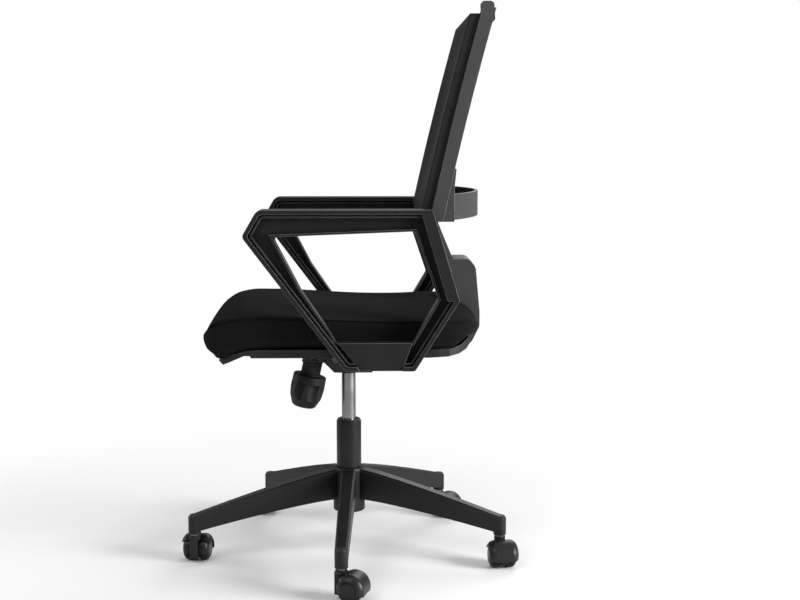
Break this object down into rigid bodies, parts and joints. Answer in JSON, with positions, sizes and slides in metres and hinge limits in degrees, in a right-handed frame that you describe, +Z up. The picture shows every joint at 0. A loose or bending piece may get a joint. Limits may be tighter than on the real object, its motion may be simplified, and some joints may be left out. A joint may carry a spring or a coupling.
{
  "type": "task chair",
  "caption": "Swivel task chair with a padded seat, loop arms, a reclining mesh back with a lumbar band, a gas lift and a star base on twin-wheel casters.",
  "frame": {"origin": "on the floor under the axis of the gas lift, all casters standing on the floor", "axes": "+Z up; -Y is the way the sitter faces; +X is the sitter's left"},
  "size_m": [0.6734, 0.6648, 1.084],
  "materials": {
    "base_plastic": "fine grain",
    "hood_plastic": "fine grain",
    "wheel_plastic": "smooth",
    "column_paint": "satin",
    "bush_plastic": "smooth",
    "lift_chrome": "polished",
    "plain_steel": "satin",
    "mechanism_paint": "satin",
    "spring_steel": "satin",
    "boot_rubber": "matt",
    "knob_plastic": "fine grain",
    "lever_paint": "satin",
    "pan_plastic": "fine grain",
    "seat_fabric": "woven",
    "arm_plastic": "fine grain",
    "frame_plastic": "fine grain",
    "carrier_plastic": "smooth",
    "mesh_fabric": "open mesh",
    "band_plastic": "fine grain"
  },
  "bodies": {
    "base": {"star_base": "base_plastic", "gas_column": "column_paint", "column_bush": "bush_plastic", "thrust_bearing": "plain_steel", "caster_stem_1": "plain_steel", "caster_stem_2": "plain_steel", "caster_stem_3": "plain_steel", "caster_stem_4": "plain_steel", "caster_stem_5": "plain_steel"},
    "caster_1": {"caster_hood_1": "hood_plastic", "caster_axle_1": "plain_steel"},
    "wheel_left_1": {"caster_wheel_left_1": "wheel_plastic"},
    "wheel_right_1": {"caster_wheel_right_1": "wheel_plastic"},
    "caster_2": {"caster_hood_2": "hood_plastic", "caster_axle_2": "plain_steel"},
    "wheel_left_2": {"caster_wheel_left_2": "wheel_plastic"},
    "wheel_right_2": {"caster_wheel_right_2": "wheel_plastic"},
    "caster_3": {"caster_hood_3": "hood_plastic", "caster_axle_3": "plain_steel"},
    "wheel_left_3": {"caster_wheel_left_3": "wheel_plastic"},
    "wheel_right_3": {"caster_wheel_right_3": "wheel_plastic"},
    "caster_4": {"caster_hood_4": "hood_plastic", "caster_axle_4": "plain_steel"},
    "wheel_left_4": {"caster_wheel_left_4": "wheel_plastic"},
    "wheel_right_4": {"caster_wheel_right_4": "wheel_plastic"},
    "caster_5": {"caster_hood_5": "hood_plastic", "caster_axle_5": "plain_steel"},
    "wheel_left_5": {"caster_wheel_left_5": "wheel_plastic"},
    "wheel_right_5": {"caster_wheel_right_5": "wheel_plastic"},
    "lift_rod": {"piston_rod": "lift_chrome", "rod_clip": "plain_steel"},
    "lift_tube": {"pressure_tube": "lift_chrome", "taper_cup": "column_paint", "tilt_housing": "mechanism_paint"},
    "valve": {"valve_pin": "plain_steel"},
    "lever_slide": {"lever_bush": "bush_plastic"},
    "lever": {"lever_pin": "plain_steel", "lever_rod": "lever_paint", "lever_grip": "knob_plastic"},
    "seat": {"seat_plate": "mechanism_paint", "plate_screws": "plain_steel", "tilt_shaft": "plain_steel", "tension_bolt": "plain_steel", "tension_spring": "spring_steel", "spring_boot": "boot_rubber", "seat_pan": "pan_plastic", "seat_cushion": "seat_fabric", "arm_left": "arm_plastic", "arm_right": "arm_plastic", "arm_screws": "plain_steel", "back_bracket": "frame_plastic", "bracket_screws": "plain_steel", "back_frame": "frame_plastic", "mesh_carrier": "carrier_plastic", "back_mesh": "mesh_fabric", "lumbar_band": "band_plastic", "lumbar_screws": "plain_steel"},
    "knob": {"tension_knob": "knob_plastic"}
  },
  "joints": [
    {"name": "caster_swivel_1", "type": "hinge", "parent": "base", "child": "caster_1", "pos_m": [0.31681, -0.01106, 0.05], "axis": [0, 0, 1], "continuous": true},
    {"name": "wheel_left_roll_1", "type": "hinge", "parent": "caster_1", "child": "wheel_left_1", "pos_m": [0.32433, 0.00961, 0.025], "axis": [-0.9397, 0.342, 0], "continuous": true},
    {"name": "wheel_right_roll_1", "type": "hinge", "parent": "caster_1", "child": "wheel_right_1", "pos_m": [0.32433, 0.00961, 0.025], "axis": [-0.9397, 0.342, 0], "continuous": true},
    {"name": "caster_swivel_2", "type": "hinge", "parent": "base", "child": "caster_2", "pos_m": [0.10842, 0.29788, 0.05], "axis": [0, 0, 1], "continuous": true},
    {"name": "wheel_left_roll_2", "type": "hinge", "parent": "caster_2", "child": "wheel_left_2", "pos_m": [0.13021, 0.30094, 0.025], "axis": [-0.1392, 0.9903, 0], "continuous": true},
    {"name": "wheel_right_roll_2", "type": "hinge", "parent": "caster_2", "child": "wheel_right_2", "pos_m": [0.13021, 0.30094, 0.025], "axis": [-0.1392, 0.9903, 0], "continuous": true},
    {"name": "caster_swivel_3", "type": "hinge", "parent": "base", "child": "caster_3", "pos_m": [-0.2498, 0.19517, 0.05], "axis": [0, 0, 1], "continuous": true},
    {"name": "wheel_left_roll_3", "type": "hinge", "parent": "caster_3", "child": "wheel_left_3", "pos_m": [-0.243, 0.21609, 0.025], "axis": [-0.9511, 0.309, 0], "continuous": true},
    {"name": "wheel_right_roll_3", "type": "hinge", "parent": "caster_3", "child": "wheel_right_3", "pos_m": [-0.243, 0.21609, 0.025], "axis": [-0.9511, 0.309, 0], "continuous": true},
    {"name": "caster_swivel_4", "type": "hinge", "parent": "base", "child": "caster_4", "pos_m": [-0.26281, -0.17726, 0.05], "axis": [0, 0, 1], "continuous": true},
    {"name": "wheel_left_roll_4", "type": "hinge", "parent": "caster_4", "child": "wheel_left_4", "pos_m": [-0.28083, -0.18988, 0.025], "axis": [0.5736, -0.8192, 0], "continuous": true},
    {"name": "wheel_right_roll_4", "type": "hinge", "parent": "caster_4", "child": "wheel_right_4", "pos_m": [-0.28083, -0.18988, 0.025], "axis": [0.5736, -0.8192, 0], "continuous": true},
    {"name": "caster_swivel_5", "type": "hinge", "parent": "base", "child": "caster_5", "pos_m": [0.08738, -0.30472, 0.05], "axis": [0, 0, 1], "continuous": true},
    {"name": "wheel_left_roll_5", "type": "hinge", "parent": "caster_5", "child": "wheel_left_5", "pos_m": [0.06559, -0.30166, 0.025], "axis": [-0.1392, -0.9903, 0], "continuous": true},
    {"name": "wheel_right_roll_5", "type": "hinge", "parent": "caster_5", "child": "wheel_right_5", "pos_m": [0.06559, -0.30166, 0.025], "axis": [-0.1392, -0.9903, 0], "continuous": true},
    {"name": "seat_swivel", "type": "hinge", "parent": "base", "child": "lift_rod", "pos_m": [0, 0, 0.1], "axis": [0, 0, 1], "continuous": true},
    {"name": "height_adjust", "type": "slide", "parent": "lift_rod", "child": "lift_tube", "axis": [0, 0, 1], "range_m": [-0.085, 0]},
    {"name": "valve_press", "type": "slide", "parent": "lift_tube", "child": "valve", "axis": [0, 0, -1], "range_m": [0, 0.00235]},
    {"name": "lever_pull", "type": "slide", "parent": "lift_tube", "child": "lever_slide", "axis": [-1, 0, 0], "range_m": [0, 0.006]},
    {"name": "lever_lift", "type": "hinge", "parent": "lever_slide", "child": "lever", "pos_m": [-0.017, 0, 0.4131], "axis": [0, 1, 0], "range_deg": [0, 6], "stiffness_Nm_per_rad": 3, "springref_deg": -8.59},
    {"name": "seat_tilt", "type": "hinge", "parent": "lift_tube", "child": "seat", "pos_m": [0, -0.025, 0.4], "axis": [-1, 0, 0], "range_deg": [0, 24], "stiffness_Nm_per_rad": 70, "springref_deg": -28.65, "deforming": ["tension_spring", "spring_boot"]},
    {"name": "tension_turn", "type": "hinge", "parent": "seat", "child": "knob", "pos_m": [0, -0.062, 0.433], "axis": [0, 0.2147, 0.9767], "continuous": true}
  ],
  "couplings": [
    {"joint": "valve_press", "follows": "lever_lift", "m_per_rad": 0.022}
  ]
}
